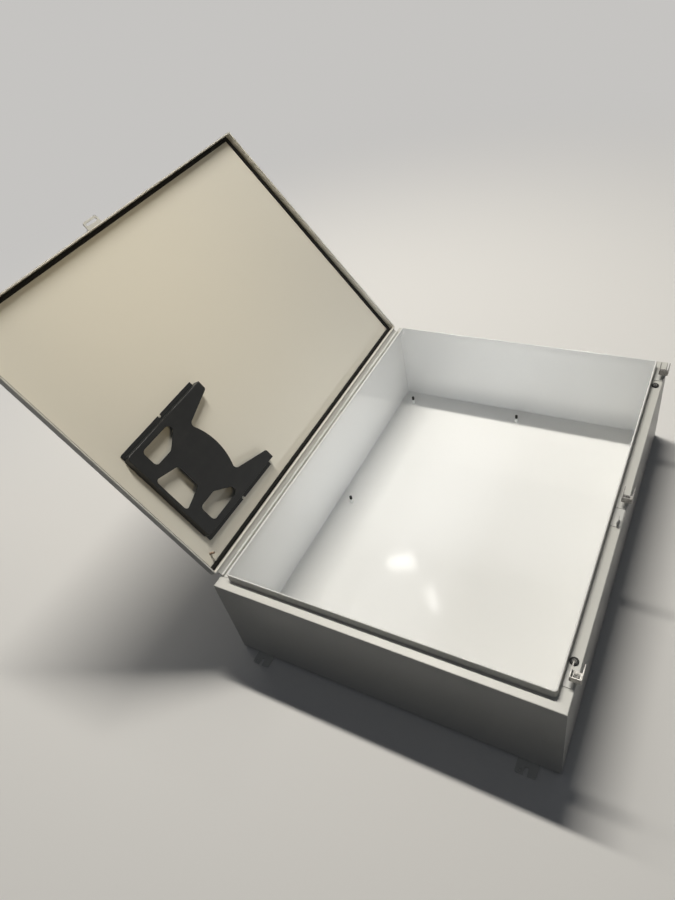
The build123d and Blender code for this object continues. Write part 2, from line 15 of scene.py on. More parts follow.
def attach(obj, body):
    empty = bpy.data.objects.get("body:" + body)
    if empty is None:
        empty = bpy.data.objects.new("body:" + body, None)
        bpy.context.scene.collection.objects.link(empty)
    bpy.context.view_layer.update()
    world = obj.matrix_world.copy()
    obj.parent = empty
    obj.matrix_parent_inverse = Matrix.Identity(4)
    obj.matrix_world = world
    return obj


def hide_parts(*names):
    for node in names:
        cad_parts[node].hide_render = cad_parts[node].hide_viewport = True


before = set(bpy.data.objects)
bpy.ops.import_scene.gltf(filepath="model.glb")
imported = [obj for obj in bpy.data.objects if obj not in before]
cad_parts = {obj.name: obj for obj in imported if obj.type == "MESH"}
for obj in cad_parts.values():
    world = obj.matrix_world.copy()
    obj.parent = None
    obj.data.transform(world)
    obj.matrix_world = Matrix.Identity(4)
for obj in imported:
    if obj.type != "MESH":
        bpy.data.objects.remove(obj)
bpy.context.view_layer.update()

log = logging.getLogger("enclosure")

Pair = tuple[float, float]
Point = tuple[float, float, float]
Colour = tuple[float, float, float]

MILLIMETRE = 0.001
ORIGIN = Vector((0, 0, 0))
UP = Vector((0, 0, 1))
UNMOVED = Matrix.Identity(4)

# Shared by the pieces: sizes in millimetres, thread shapes as shares of the pitch, steps, angles
MERGE_DISTANCE = 0.001
COPY_MERGE_DISTANCE = 0.002
LEVEL_TOLERANCE = 0.01
THREAD_DEPTH = 0.55
THREAD_CORE = 0.5
THREAD_HALF_ROOT = 0.46
THREAD_HALF_CREST = 0.06
THREAD_STEPS = 20
EDGE_SEGMENTS = 2
EDGE_ANGLE = math.radians(50)
FLAT_ANGLE = math.radians(0.6)
SHARP_ANGLE = math.radians(38)


# Shader maths


class Wire:
    """A value on its way through a material, with arithmetic that adds Math nodes."""

    def __init__(self, table: "NodeTable", socket: NodeSocket) -> None:
        """Wrap an output socket; new nodes go to its table."""
        self.table = table
        self.socket = socket

    def _math(self, operation: str, first: "Wire | float", second: "Wire | float | None" = None) -> "Wire":
        """Add one Math node.

        Args:
            operation: The node's operation.
            first: The first operand.
            second: The second operand, where the operation has one.

        Returns:
            The node's value.
        """
        values = {0: first} if second is None else {0: first, 1: second}
        return self.table.node("ShaderNodeMath", {"operation": operation}, values).out("Value")

    def __add__(self, other: "Wire | float") -> "Wire":
        """Sum."""
        return self._math("ADD", self, other)

    def __radd__(self, other: float) -> "Wire":
        """Reflected sum."""
        return self._math("ADD", other, self)

    def __sub__(self, other: "Wire | float") -> "Wire":
        """Difference."""
        return self._math("SUBTRACT", self, other)

    def __rsub__(self, other: float) -> "Wire":
        """Reflected difference."""
        return self._math("SUBTRACT", other, self)

    def __mul__(self, other: "Wire | float") -> "Wire":
        """Product."""
        return self._math("MULTIPLY", self, other)

    def __rmul__(self, other: float) -> "Wire":
        """Reflected product."""
        return self._math("MULTIPLY", other, self)

    def __pow__(self, other: "Wire | float") -> "Wire":
        """Power."""
        return self._math("POWER", self, other)

    def absolute(self) -> "Wire":
        """The value without its sign."""
        return self._math("ABSOLUTE", self)

    def most(self, other: "Wire | float") -> "Wire":
        """The larger of two values."""
        return self._math("MAXIMUM", self, other)

    def swing(self, amount: float) -> "Wire":
        """Turn a value of 0 to 1 into one that swings about zero."""
        return (self - 0.5) * amount

    def ramp(self, low: float, high: float) -> "Wire":
        """Rise smoothly from 0 at a low value to 1 at a high one.

        Args:
            low: The value that gives 0.
            high: The value that gives 1.

        Returns:
            The mapped value.
        """
        settings = {"interpolation_type": "SMOOTHSTEP", "clamp": True}
        values = {"Value": self, "From Min": low, "From Max": high}
        return self.table.node("ShaderNodeMapRange", settings, values).out("Result")


class Placed:
    """A node that has been added, ready to give its outputs."""

    def __init__(self, table: "NodeTable", node: Node) -> None:
        """Keep the node and its table."""
        self.table = table
        self.node = node

    def out(self, name: str | int = 0) -> Wire:
        """One of the node's outputs, by name or number."""
        return Wire(self.table, self.node.outputs[name])


class NodeTable:
    """The node tree of one material or world, with one method that adds any node."""

    def __init__(self, owner: Material | World) -> None:
        """Start with an empty tree in a material or world."""
        owner.use_nodes = True
        self.owner = owner
        self.tree = owner.node_tree
        self.tree.nodes.clear()

    @classmethod
    def named(cls, name: str) -> "NodeTable":
        """The empty tree of a new material."""
        return cls(bpy.data.materials.new(name))

    def node(self, kind: str, settings: dict | None = None, values: dict | None = None) -> Placed:
        """Add a node.

        Args:
            kind: The node's type.
            settings: Properties of the node, set first.
            values: Constants or wires for its input sockets, by name or number.

        Returns:
            The node, ready to give its outputs.
        """
        node = self.tree.nodes.new(kind)
        for name, value in (settings or {}).items():
            setattr(node, name, value)
        for name, value in (values or {}).items():
            if isinstance(value, Wire):
                self.tree.links.new(value.socket, node.inputs[name])
            else:
                node.inputs[name].default_value = value
        return Placed(self, node)

    def place(self) -> Wire:
        """Object coordinates, in metres."""
        return self.node("ShaderNodeTexCoord").out("Object")

    def axes(self) -> tuple[Wire, Wire, Wire]:
        """The three object coordinates as separate values."""
        split = self.node("ShaderNodeSeparateXYZ", None, {0: self.place()})
        return split.out("X"), split.out("Y"), split.out("Z")

    def stretched(self, scale: Point) -> Wire:
        """Object coordinates, each axis scaled by its own factor."""
        values = {"Vector": self.place(), "Scale": scale}
        return self.node("ShaderNodeMapping", None, values).out("Vector")

    def noise(self, size: float, detail: float = 2.0, roughness: float = 0.5,
              where: Wire | None = None) -> Wire:
        """Soft random variation around 0.5.

        Args:
            size: Rough size of one blotch, in metres.
            detail: Number of finer layers.
            roughness: Strength of the finer layers.
            where: Coordinates, if not the plain object ones.

        Returns:
            The noise value.
        """
        values = {"Vector": where or self.place(), "Scale": 1 / size, "Detail": detail,
                  "Roughness": roughness}
        return self.node("ShaderNodeTexNoise", None, values).out("Fac")

    def cells(self, size: float) -> Wire:
        """Distance from the middle of irregular cells, whose rough size is given in metres."""
        values = {"Vector": self.place(), "Scale": 1 / size}
        return self.node("ShaderNodeTexVoronoi", None, values).out("Distance")

    def blend(self, share: Wire | float, first: "Colour | Wire", second: "Colour | Wire") -> Wire:
        """Mix two colours.

        Args:
            share: Share of the second colour.
            first: The first colour.
            second: The second colour.

        Returns:
            The mixed colour.
        """
        pair = [c if isinstance(c, Wire) else (*c, 1.0) for c in (first, second)]
        values = {"Factor": share, 6: pair[0], 7: pair[1]}
        return self.node("ShaderNodeMix", {"data_type": "RGBA"}, values).out(2)

    def shader(self, kind: str, colour: Colour) -> Wire:
        """A plain shader of one colour."""
        return self.node(kind, None, {"Color": (*colour, 1.0)}).out()

    def mix(self, share: Wire, first: Wire, second: Wire) -> Wire:
        """Mix two shaders, by the share of the second."""
        return self.node("ShaderNodeMixShader", None, {0: share, 1: first, 2: second}).out()

    def seen(self) -> Wire:
        """One for rays that come from the camera or off a glossy surface, else zero."""
        path = self.node("ShaderNodeLightPath")
        return path.out("Is Camera Ray").most(path.out("Is Glossy Ray"))

    def bump(self, height: Wire, depth: float) -> Wire:
        """Bend the normal by a height pattern of 0 to 1, its depth given in metres."""
        values = {"Height": height, "Distance": depth, "Strength": 1.0}
        return self.node("ShaderNodeBump", None, values).out("Normal")

    def surface(self, colour: Wire, roughness: Wire, normal: Wire, others: dict) -> Material:
        """End the material with one Principled shader.

        Args:
            colour: The base colour.
            roughness: The roughness.
            normal: The bent normal.
            others: Constants or wires for the shader's other sockets.

        Returns:
            The finished material.
        """
        values = {**others, "Base Color": colour, "Roughness": roughness, "Normal": normal}
        shader = self.node("ShaderNodeBsdfPrincipled", None, values)
        self.node("ShaderNodeOutputMaterial", None, {"Surface": shader.out("BSDF")})
        return self.owner


@dataclass(frozen=True)
class Pattern:
    """Soft random blotches. Size in metres; the low level gives 0 and the high one 1."""

    size: float
    detail: float
    roughness: float
    low: float
    high: float
    stretch: Point | None = None

    def on(self, table: NodeTable) -> Wire:
        """Add the pattern to a material, as a value from 0 to 1."""
        where = table.stretched(self.stretch) if self.stretch else None
        return table.noise(self.size, self.detail, self.roughness, where).ramp(self.low, self.high)


# Finishes


@dataclass(frozen=True)
class PowderPaint:
    """Baked polyester powder paint: fine orange peel, faint mottling, a little dust."""

    name: str
    colour: Colour
    shade: Colour
    roughness: float = 0.36
    cloud: float = 0.25
    scuffs: float = 0.0
    peel_size: float = 0.0022
    peel_depth: float = 0.00001

    MOTTLE: ClassVar[Pattern] = Pattern(0.16, 4.0, 0.6, 0.35, 0.7)
    FILM: ClassVar[Pattern] = Pattern(0.045, 5.0, 0.65, 0.3, 0.75)
    SPECK: ClassVar[Pattern] = Pattern(0.0016, 1.0, 0.5, 0.62, 0.78)
    LONG_MARKS: ClassVar[Pattern] = Pattern(0.02, 6.0, 0.75, 0.63, 0.72, (0.35, 1.6, 3.5))
    RUBBED_PATCH: ClassVar[Pattern] = Pattern(0.22, 2.0, 0.5, 0.5, 0.68)
    FILM_SHARE: ClassVar[float] = 0.4
    SPECK_SHARE: ClassVar[float] = 0.1
    FILM_GLOSS: ClassVar[float] = 0.07
    MOTTLE_GLOSS: ClassVar[float] = 0.05
    SCUFF_SHADE: ClassVar[float] = 0.72
    SCUFF_DULLING: ClassVar[float] = 0.2

    def make(self) -> Material:
        """Build the paint's material.

        Returns:
            The material.
        """
        table = NodeTable.named(self.name)
        mottle, film, speck = (pattern.on(table) for pattern in (self.MOTTLE, self.FILM, self.SPECK))
        share = mottle * self.cloud + film * self.cloud * self.FILM_SHARE + speck * self.SPECK_SHARE
        colour = table.blend(share, self.colour, self.shade)
        roughness = self.roughness * (1 + film.swing(self.FILM_GLOSS) + mottle.swing(self.MOTTLE_GLOSS))
        if self.scuffs:
            scuff = self.LONG_MARKS.on(table) * self.RUBBED_PATCH.on(table) * self.scuffs
            colour = table.blend(scuff, colour, tuple(c * self.SCUFF_SHADE for c in self.colour))
            roughness = roughness + scuff * self.SCUFF_DULLING
        normal = table.bump(table.noise(self.peel_size, 2.0, 0.4), self.peel_depth)
        return table.surface(colour, roughness, normal, {"Metallic": 0.0, "IOR": 1.5})


@dataclass(frozen=True)
class PlatedSteel:
    """Zinc plated steel: grainy spangle, dulled in patches."""

    name: str
    colour: Colour
    shade: Colour
    roughness: float = 0.3
    grain_size: float = 0.0009
    grain_depth: float = 0.000012

    DULL: ClassVar[Pattern] = Pattern(0.006, 4.0, 0.65, 0.32, 0.7)
    DULL_SHARE: ClassVar[float] = 0.8
    DULL_GLOSS: ClassVar[float] = 0.16
    GRAIN_GLOSS: ClassVar[float] = 0.14

    def make(self) -> Material:
        """Build the plating's material.

        Returns:
            The material.
        """
        table = NodeTable.named(self.name)
        dull, grain = self.DULL.on(table), table.noise(self.grain_size)
        colour = table.blend(dull * self.DULL_SHARE, self.colour, self.shade)
        roughness = self.roughness + dull * self.DULL_GLOSS + grain.swing(self.GRAIN_GLOSS)
        return table.surface(colour, roughness, table.bump(grain, self.grain_depth), {"Metallic": 1.0})


@dataclass(frozen=True)
class BoltSteel:
    """Stud steel, painted up to a level along Z, with dark oiled thread above. Sizes in metres."""

    name: str
    painted: Colour
    thread: Colour
    level: float
    roughness: float = 0.42
    fade_below: float = 0.0002
    fade_above: float = 0.0004
    wander: float = 0.0012
    wander_size: float = 0.004
    grain_size: float = 0.0012
    grain_depth: float = 0.00001

    DIRT: ClassVar[Pattern] = Pattern(0.003, 3.0, 0.6, 0.3, 0.75)
    DIRT_SHADE: ClassVar[float] = 1.9
    DIRT_GLOSS: ClassVar[float] = 0.1
    BARE_METAL: ClassVar[float] = 0.8

    def make(self) -> Material:
        """Build the stud's material.

        Returns:
            The material.
        """
        table = NodeTable.named(self.name)
        height = table.axes()[2] + table.noise(self.wander_size, 3.0).swing(self.wander)
        bare = height.ramp(self.level - self.fade_below, self.level + self.fade_above)
        dirt = self.DIRT.on(table)
        thread = table.blend(dirt, self.thread, tuple(c * self.DIRT_SHADE for c in self.thread))
        colour = table.blend(bare, self.painted, thread)
        normal = table.bump(table.noise(self.grain_size), self.grain_depth)
        roughness = self.roughness + dirt * self.DIRT_GLOSS
        return table.surface(colour, roughness, normal, {"Metallic": bare * self.BARE_METAL})


@dataclass(frozen=True)
class MouldedPlastic:
    """Black moulded plastic with a fine spark-eroded grain, slightly dusty where flat."""

    name: str
    colour: Colour
    shade: Colour
    roughness: float = 0.46
    grain_size: float = 0.0011
    grain_depth: float = 0.00005

    DUST: ClassVar[Pattern] = Pattern(0.05, 5.0, 0.7, 0.4, 0.8)
    FLOW: ClassVar[Pattern] = Pattern(0.02, 2.0, 0.5, 0.3, 0.7, (1.0, 0.25, 1.0))
    DUST_SHARE: ClassVar[float] = 0.6
    FLOW_SHARE: ClassVar[float] = 0.2
    DUST_GLOSS: ClassVar[float] = 0.12
    GRAIN_GLOSS: ClassVar[float] = 0.08

    def make(self) -> Material:
        """Build the plastic's material.

        Returns:
            The material.
        """
        table = NodeTable.named(self.name)
        dust, flow, pebble = self.DUST.on(table), self.FLOW.on(table), table.cells(self.grain_size)
        colour = table.blend(dust * self.DUST_SHARE + flow * self.FLOW_SHARE, self.colour, self.shade)
        roughness = self.roughness + dust * self.DUST_GLOSS + pebble.swing(self.GRAIN_GLOSS)
        return table.surface(colour, roughness, table.bump(pebble, self.grain_depth), {"IOR": 1.5})


@dataclass(frozen=True)
class Foam:
    """Closed-cell foam: dull, with small open pores."""

    name: str
    colour: Colour
    shade: Colour
    pore_size: float = 0.0008
    pore_depth: float = 0.0001
    roughness: float = 0.85

    BLOTCH: ClassVar[Pattern] = Pattern(0.012, 4.0, 0.6, 0.3, 0.7)
    PORE_LEVELS: ClassVar[Pair] = (0.1, 0.5)
    BLOTCH_SHARE: ClassVar[float] = 0.7
    PORE_SHARE: ClassVar[float] = 0.3
    BLOTCH_GLOSS: ClassVar[float] = 0.1

    def make(self) -> Material:
        """Build the foam's material.

        Returns:
            The material.
        """
        table = NodeTable.named(self.name)
        pores = table.cells(self.pore_size).ramp(*self.PORE_LEVELS)
        blotch = self.BLOTCH.on(table)
        share = blotch * self.BLOTCH_SHARE + (1 - pores) * self.PORE_SHARE
        colour = table.blend(share, self.colour, self.shade)
        normal = table.bump(pores + blotch, self.pore_depth)
        roughness = self.roughness + blotch.swing(self.BLOTCH_GLOSS)
        return table.surface(colour, roughness, normal, {"IOR": 1.28})


@dataclass(frozen=True)
class BumperRubber:
    """Black rubber of the two door bumpers, with a painted highlight: a lighter grey ring round the hole.
    Sizes in metres.
    """

    name: str
    colour: Colour
    painted_highlight: Colour
    centre: Pair = (0.4402, 0.486)
    inner: float = 0.0022
    outer: float = 0.0052
    inner_fade: float = 0.0006
    outer_fade: float = 0.0008
    wander: float = 0.0016
    wander_size: float = 0.004
    grain_size: float = 0.0006
    grain_depth: float = 0.00003
    roughness: float = 0.5

    BLOTCH: ClassVar[Pattern] = Pattern(0.003, 4.0, 0.6, 0.25, 0.6)
    PAINTED_HIGHLIGHT_SHARE: ClassVar[float] = 0.85
    BLOTCH_GLOSS: ClassVar[float] = 0.15

    def make(self) -> Material:
        """Build the rubber's material.

        Returns:
            The material.
        """
        table = NodeTable.named(self.name)
        x, y, _ = table.axes()
        across, along = x - self.centre[0], y.absolute() - self.centre[1]
        radius = (across * across + along * along) ** 0.5
        radius = radius + table.noise(self.wander_size, 3.0).swing(self.wander)
        past_inner = radius.ramp(self.inner, self.inner + self.inner_fade)
        past_outer = radius.ramp(self.outer - self.outer_fade, self.outer)
        blotch = self.BLOTCH.on(table)
        # Painted highlight: the ring between the inner and outer radius is blended towards the lighter
        # grey.
        share = past_inner * (1 - past_outer) * blotch * self.PAINTED_HIGHLIGHT_SHARE
        colour = table.blend(share, self.colour, self.painted_highlight)
        normal = table.bump(table.cells(self.grain_size), self.grain_depth)
        return table.surface(colour, self.roughness + blotch * self.BLOTCH_GLOSS, normal, {"IOR": 1.45})


class Finish(Enum):
    """Every finish on the enclosure."""

    OUTSIDE = PowderPaint("outside_coat", (0.635, 0.63, 0.59), (0.60, 0.595, 0.56), 0.36, scuffs=0.1)
    INSIDE = PowderPaint("inside_coat", (0.83, 0.83, 0.815), (0.82, 0.825, 0.815), 0.07, cloud=0.1)
    # The same white paint as the inside, made darker and warmer: painted shade and painted warm reflected
    # light on the open door.
    DOOR_INSIDE = PowderPaint("door_inside_coat_painted_warm_shade", (0.765, 0.735, 0.65), (0.75, 0.72, 0.635), 0.3,
                              cloud=0.15)
    # Paler than the inside white: a painted highlight along the door's folded edge.
    HEM = PowderPaint("door_edge_coat_painted_highlight", (0.88, 0.86, 0.80), (0.86, 0.84, 0.78), 0.3, cloud=0.1)
    HINGE = PowderPaint("hinge_coat", (0.64, 0.64, 0.615), (0.58, 0.58, 0.56), 0.36)
    FITTING = PowderPaint("fitting_coat", (0.62, 0.62, 0.595), (0.56, 0.56, 0.54), 0.36)
    FOOT = PowderPaint("foot_coat", (0.58, 0.58, 0.555), (0.50, 0.50, 0.48), 0.42, scuffs=0.5)
    ZINC = PlatedSteel("clamp_plating", (0.44, 0.43, 0.41), (0.25, 0.24, 0.23), 0.42)
    SCREW_ZINC = PlatedSteel("screw_plating", (0.20, 0.195, 0.185), (0.09, 0.088, 0.083), 0.4)
    PIN = PlatedSteel("bare_pin_steel", (0.60, 0.59, 0.57), (0.36, 0.35, 0.33), 0.35)
    PANEL_STUD = BoltSteel("panel_stud_finish", (0.80, 0.80, 0.785), (0.035, 0.034, 0.032), 0.0218)
    GROUND_STUD = PlatedSteel("coppered_stud_steel", (0.26, 0.18, 0.12), (0.13, 0.10, 0.08), 0.36)
    POCKET = MouldedPlastic("moulded_pocket", (0.014, 0.0145, 0.0145), (0.024, 0.024, 0.023), 0.32)
    GASKET = Foam("foam_strip", (0.012, 0.0115, 0.011), (0.024, 0.023, 0.021))
    # The lighter grey of the bumpers is a painted highlight round each hole.
    RUBBER = BumperRubber("moulded_rubber", (0.014, 0.014, 0.014), (0.36, 0.355, 0.34))
    TAPE = Foam("foam_tape", (0.55, 0.54, 0.50), (0.42, 0.41, 0.38), 0.0004, 0.00005, 0.8)

    def material(self) -> Material:
        """The finish's material, built once."""
        return bpy.data.materials.get(self.value.name) or self.value.make()


# Mesh making


def add_object(name: str, data: ID) -> Object:
    """A new object for some data, linked to the scene."""
    obj = bpy.data.objects.new(name, data)
    bpy.context.scene.collection.objects.link(obj)
    return obj


def boundary_edges(bm: BMesh) -> list[BMEdge]:
    """All edges with one face."""
    return [e for e in bm.edges if len(e.link_faces) == 1]


def rounded_face(bm: BMesh, width: float, length: float, corner: float, steps: int,
                 centre: Vector = ORIGIN) -> BMFace:
    """Add one rounded rectangle that faces up.

    Args:
        bm: The mesh under work.
        width: Size along X.
        length: Size along Y.
        corner: Corner radius.
        steps: Segments in each corner.
        centre: Its middle.

    Returns:
        The new face.
    """
    before = set(bm.faces)
    made = bmesh.ops.create_grid(bm, x_segments=1, y_segments=1, size=0.5)
    bmesh.ops.scale(bm, vec=(width, length, 1), verts=made["verts"])
    bmesh.ops.translate(bm, vec=centre, verts=made["verts"])
    if corner > 0:
        bmesh.ops.bevel(bm, geom=made["verts"], offset=corner, offset_type="OFFSET", segments=steps,
                        profile=0.5, affect="VERTICES", material=-1)
    return next(f for f in bm.faces if f not in before)


def swell(bm: BMesh, face: BMFace, steps: Iterable[Pair], inner_from: int | None = None) -> None:
    """Run a wall in from a face's outline, one step after another.

    Args:
        bm: The mesh under work.
        face: The face that is inset each time.
        steps: Pairs of inset and rise.
        inner_from: Number of the first step with the inner finish, counted from 0, if any.
    """
    for number, (inset, rise) in enumerate(steps):
        if inset:
            made = bmesh.ops.inset_region(bm, faces=[face], use_boundary=True, use_even_offset=True,
                                          thickness=inset, depth=rise)
            for ring in made["faces"]:
                ring.material_index = int(inner_from is not None and number >= inner_from)
        else:
            made = bmesh.ops.extrude_face_region(bm, geom=[face])
            moved = [v for v in made["geom"] if isinstance(v, BMVert)]
            bmesh.ops.delete(bm, geom=[face], context="FACES_ONLY")
            bmesh.ops.translate(bm, vec=(0, 0, rise), verts=moved)
            face = next(g for g in made["geom"] if isinstance(g, BMFace))
    bmesh.ops.delete(bm, geom=[face], context="FACES_ONLY")


def arc_steps(radius: float, turn: float, count: int) -> list[Pair]:
    """Divide an arc, which starts straight up, into steps for a wall.

    Args:
        radius: Radius of the arc.
        turn: Angle of one step, in degrees.
        count: Number of steps.

    Returns:
        Pairs of inset and rise.
    """
    angles = [number * math.radians(turn) for number in range(count + 1)]
    return [(radius * (math.cos(start) - math.cos(end)), radius * (math.sin(end) - math.sin(start)))
            for start, end in zip(angles, angles[1:])]


def side_of(axis: Vector) -> Vector:
    """A direction square to an axis."""
    return axis.to_track_quat("Z", "Y").to_matrix() @ Vector((1, 0, 0))


def turned(bm: BMesh, profile: Sequence[Pair], steps: int, centre: Vector, axis: Vector = UP) -> None:
    """Turn a profile of radius and height round an axis.

    Args:
        bm: The mesh under work.
        profile: Pairs of radius and height, from bottom to top on the outside.
        steps: Segments round the axis.
        centre: The point of zero height.
        axis: Direction of the height.
    """
    side = side_of(axis)
    points = [bm.verts.new(centre + side * radius + axis * height) for radius, height in profile]
    edges = [bm.edges.new(pair) for pair in zip(points, points[1:])]
    bmesh.ops.spin(bm, geom=points + edges, cent=centre, axis=axis, angle=math.tau, steps=steps,
                   use_merge=True)
    bmesh.ops.remove_doubles(bm, verts=bm.verts, dist=MERGE_DISTANCE)


def thread(bm: BMesh, radius: float, pitch: float, low: float, high: float, centre: Vector,
           axis: Vector = UP) -> None:
    """Wind a screw thread round a core.

    Args:
        bm: The mesh under work.
        radius: Radius over the crests.
        pitch: Distance between crests.
        low: Height of the lowest turn.
        high: Height of the highest turn.
        centre: The point of zero height.
        axis: Direction of the height.
    """
    side = side_of(axis)
    root, crest = side * (radius - THREAD_DEPTH * pitch), side * radius
    start = centre + axis * (low + pitch / 2)
    corners = [bm.verts.new(start + reach + axis * pitch * share)
               for reach, share in ((root, -THREAD_HALF_ROOT), (crest, -THREAD_HALF_CREST),
                                    (crest, THREAD_HALF_CREST), (root, THREAD_HALF_ROOT))]
    face = bm.faces.new(corners)
    turns = max(1.0, (high - low - pitch) / pitch)
    count = round(turns * THREAD_STEPS)
    bmesh.ops.spin(bm, geom=[face, *face.edges, *corners], cent=centre, axis=axis, angle=math.tau * turns,
                   dvec=axis * (pitch * turns / count), steps=count, use_duplicate=False)


class Piece:
    """One finished piece: its mesh, its finishes and the body that it rides on."""

    def __init__(self, name: str, body: str, slot: str, finishes: Sequence[Finish]) -> None:
        """Start an empty piece.

        Args:
            name: The piece's name.
            body: The body that it moves with.
            slot: The record's material slot; stored, but not used.
            finishes: Its finishes, in the order of its material numbers.
        """
        self.name = name
        self.body = body
        self.slot = slot
        self.finishes = finishes
        self.bm = bmesh.new()

    def finish(self, place: Matrix = UNMOVED, sheet: float = 0.0, edge: float = 0.0,
               replaces: Sequence[str] = (), recalculate: bool = False) -> Object:
        """Turn the work into a finished object.

        Args:
            place: Where the piece's own frame lies, in millimetres.
            sheet: Sheet thickness, laid behind the faces, or 0.
            edge: Width of the softened edges, in millimetres, or 0.
            replaces: CAD nodes that the piece stands for.
            recalculate: Whether the faces are turned outwards first.

        Returns:
            The object.
        """
        if recalculate:
            bmesh.ops.recalc_face_normals(self.bm, faces=self.bm.faces)
        self.bm.transform(Matrix.Scale(MILLIMETRE, 4) @ place)
        mesh = bpy.data.meshes.new(self.name)
        self.bm.to_mesh(mesh)
        self.bm.free()
        obj = add_object(self.name, mesh)
        for finish in self.finishes:
            mesh.materials.append(finish.material())
        if sheet:
            wall = obj.modifiers.new("sheet", "SOLIDIFY")
            wall.thickness = sheet * MILLIMETRE
            wall.offset = -1
            wall.use_even_offset = True
            wall.material_offset = len(self.finishes) - 1
            wall.material_offset_rim = 0
        if edge:
            soft = obj.modifiers.new("edge", "BEVEL")
            soft.width = edge * MILLIMETRE
            soft.segments = EDGE_SEGMENTS
            soft.limit_method = "ANGLE"
            soft.angle_limit = EDGE_ANGLE
            soft.use_clamp_overlap = True
        self._apply(obj)
        obj.data.shade_smooth()
        obj.data.set_sharp_from_angle(angle=SHARP_ANGLE)
        even = obj.modifiers.new("normals", "WEIGHTED_NORMAL")
        even.keep_sharp = True
        self._apply(obj)
        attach(obj, self.body)
        if replaces:
            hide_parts(*replaces)
        log.info("%s: %d faces", self.name, len(obj.data.polygons))
        return obj

    @staticmethod
    def _apply(obj: Object) -> None:
        """Make an object's modifiers part of its mesh."""
        graph = bpy.context.evaluated_depsgraph_get()
        graph.update()
        mesh = bpy.data.meshes.new_from_object(obj.evaluated_get(graph), preserve_all_data_layers=True,
                                               depsgraph=graph)
        obj.modifiers.clear()
        obj.data = mesh

    def copy_of(self, node: str) -> "Piece":
        """Start from a merged copy of a CAD node, in millimetres, and give back the piece."""
        self.bm.from_mesh(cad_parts[node].data)
        bmesh.ops.scale(self.bm, vec=(1 / MILLIMETRE,) * 3, verts=self.bm.verts)
        bmesh.ops.remove_doubles(self.bm, verts=self.bm.verts, dist=COPY_MERGE_DISTANCE)
        bmesh.ops.dissolve_limit(self.bm, angle_limit=FLAT_ANGLE, verts=self.bm.verts,
                                 edges=self.bm.edges, use_dissolve_boundaries=False)
        return self


# The enclosure's own pieces


@dataclass
class Body:
    """Folded body with its flange and its lip with a rolled edge. Sizes in millimetres."""

    width: float = 914.4
    length: float = 1219.2
    depth: float = 304.8
    sheet: float = 1.9
    back: float = 2.7
    back_bend: float = 5.5
    flange_bend: float = 2.2
    flange: float = 28.6
    lip_height: float = 24.0
    lip_corner: float = 9.0
    roll: float = 2.5
    weld_round: float = 0.9
    back_steps: int = 7
    flange_steps: int = 4
    weld_steps: int = 2
    lip_corner_steps: int = 10
    roll_steps: int = 12
    roll_turn: float = 22.5
    inner_finish_from: int = 4

    @property
    def flange_level(self) -> float:
        """Height of the flange's top."""
        return self.back + self.depth

    def build(self) -> None:
        """Fold the box, its flange and its rolled lip as one sheet."""
        piece = Piece("body_shell_folded", "enclosure", "body_paint", (Finish.OUTSIDE, Finish.INSIDE))
        bm = piece.bm
        bmesh.ops.create_cube(bm, size=1.0)
        bmesh.ops.scale(bm, vec=(self.width, self.length, self.depth), verts=bm.verts)
        bmesh.ops.translate(bm, vec=(0, 0, self.back + self.depth / 2), verts=bm.verts)
        self._bend(bm, self.back, self.back_bend, self.back_steps)
        self._bend(bm, self.flange_level, self.flange_bend, self.flange_steps)
        upright = [e for e in bm.edges if self._is_corner(e)]
        bmesh.ops.bevel(bm, geom=upright, offset=self.weld_round, offset_type="OFFSET",
                        segments=self.weld_steps, profile=0.5, affect="EDGES", material=-1)
        top = max(bm.faces, key=lambda f: (round(f.calc_center_median().z, 3), f.calc_area()))
        bmesh.ops.delete(bm, geom=[top], context="FACES_ONLY")
        rim = boundary_edges(bm)
        lip = rounded_face(bm, self.width - 2 * self.flange, self.length - 2 * self.flange, self.lip_corner,
                           self.lip_corner_steps, Vector((0, 0, self.flange_level)))
        foot = list(lip.edges)
        steps = [(0.0, self.lip_height - self.roll),
                 *arc_steps(self.roll, self.roll_turn, self.roll_steps)]
        swell(bm, lip, steps, inner_from=self.inner_finish_from)
        bmesh.ops.triangle_fill(bm, use_beauty=True, use_dissolve=False, edges=rim + foot, normal=(0, 0, 1))
        piece.finish(sheet=self.sheet, replaces=["body_shell"])

    @staticmethod
    def _is_corner(edge: BMEdge) -> bool:
        """Whether an edge runs up one of the four corners, bends included."""
        ends = [v.co for v in edge.verts]
        run = ends[1] - ends[0]
        return abs(abs(run.x) - abs(run.y)) < LEVEL_TOLERANCE < abs(run.z)

    @staticmethod
    def _bend(bm: BMesh, level: float, radius: float, steps: int) -> None:
        """Round the four edges at one level.

        Args:
            bm: The mesh under work.
            level: Height of the edges.
            radius: Bend radius.
            steps: Segments across the bend.
        """
        edges = [e for e in bm.edges if all(abs(v.co.z - level) < LEVEL_TOLERANCE for v in e.verts)]
        bmesh.ops.bevel(bm, geom=edges, offset=radius, offset_type="OFFSET", segments=steps, profile=0.5,
                        affect="EDGES", material=-1)


